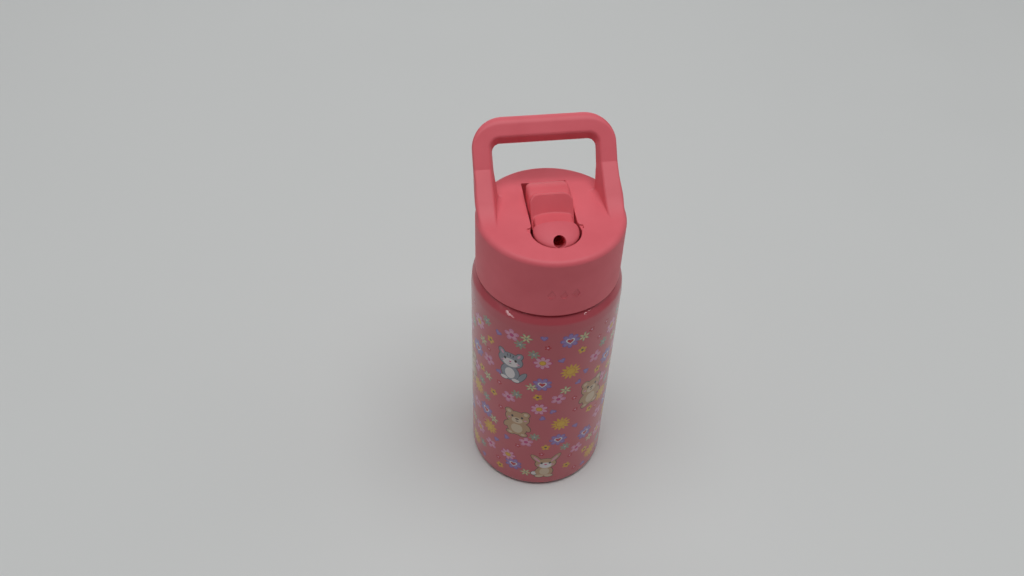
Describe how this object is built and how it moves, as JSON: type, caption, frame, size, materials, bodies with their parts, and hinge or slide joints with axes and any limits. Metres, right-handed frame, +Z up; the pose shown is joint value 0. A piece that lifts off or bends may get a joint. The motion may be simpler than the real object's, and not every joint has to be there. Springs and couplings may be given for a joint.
{
  "type": "insulated kids water bottle",
  "caption": "Double-wall insulated children's water bottle with a printed painted body, screw-on straw lid, flip-up drinking spout and a slanted carry loop.",
  "frame": {"origin": "centre of the base ring, on the surface that the bottle stands on", "axes": "+Z up along the bottle, -Y towards the front where the spout points, +X to the right when facing the front"},
  "size_m": [0.0722, 0.0722, 0.195],
  "materials": {
    "body_paint": "glossy clear-coated coral pink paint with a printed floral pattern",
    "liner_steel": "electropolished stainless steel",
    "base_steel": "brushed stainless steel",
    "vacuum_solder": "dull solder",
    "getter_metal": "pressed nickel capsule",
    "lid_plastic": "fine satin moulded polypropylene, coral pink",
    "plug_plastic": "natural polypropylene",
    "gasket_silicone": "soft translucent white silicone",
    "seal_silicone": "soft translucent white silicone",
    "straw_plastic": "clear natural plastic",
    "spout_plastic": "fine satin moulded polypropylene, coral pink",
    "pin_steel": "drawn stainless steel",
    "mouth_silicone": "soft matte coral pink silicone"
  },
  "bodies": {
    "bottle": {"outer_shell": "body_paint", "inner_liner": "liner_steel", "base_disc": "base_steel", "vacuum_plug": "vacuum_solder", "getter_capsule": "getter_metal"},
    "seal_ring": {"lid_gasket": "gasket_silicone"},
    "lid": {"lid_shell": "lid_plastic", "lid_plug": "plug_plastic", "port_seal": "seal_silicone", "vent_valve": "seal_silicone", "straw_boot": "seal_silicone", "straw": "straw_plastic"},
    "spout": {"spout_body": "spout_plastic", "hinge_pin_left": "pin_steel", "hinge_pin_right": "pin_steel", "mouthpiece": "mouth_silicone"}
  },
  "joints": [
    {"name": "lid_lift", "type": "slide", "parent": "bottle", "child": "seal_ring", "axis": [0, 0, 1], "range_m": [0, 0.01]},
    {"name": "lid_turn", "type": "hinge", "parent": "seal_ring", "child": "lid", "pos_m": [0, 0, 0.13], "axis": [0, 0, 1], "range_deg": [0, 900]},
    {"name": "spout_flip", "type": "hinge", "parent": "lid", "child": "spout", "pos_m": [0, 0.01, 0.1598], "axis": [-1, 0, 0], "range_deg": [0, 90]}
  ],
  "couplings": [
    {"joint": "lid_lift", "follows": "lid_turn", "m_per_rad": 0.00063662}
  ]
}
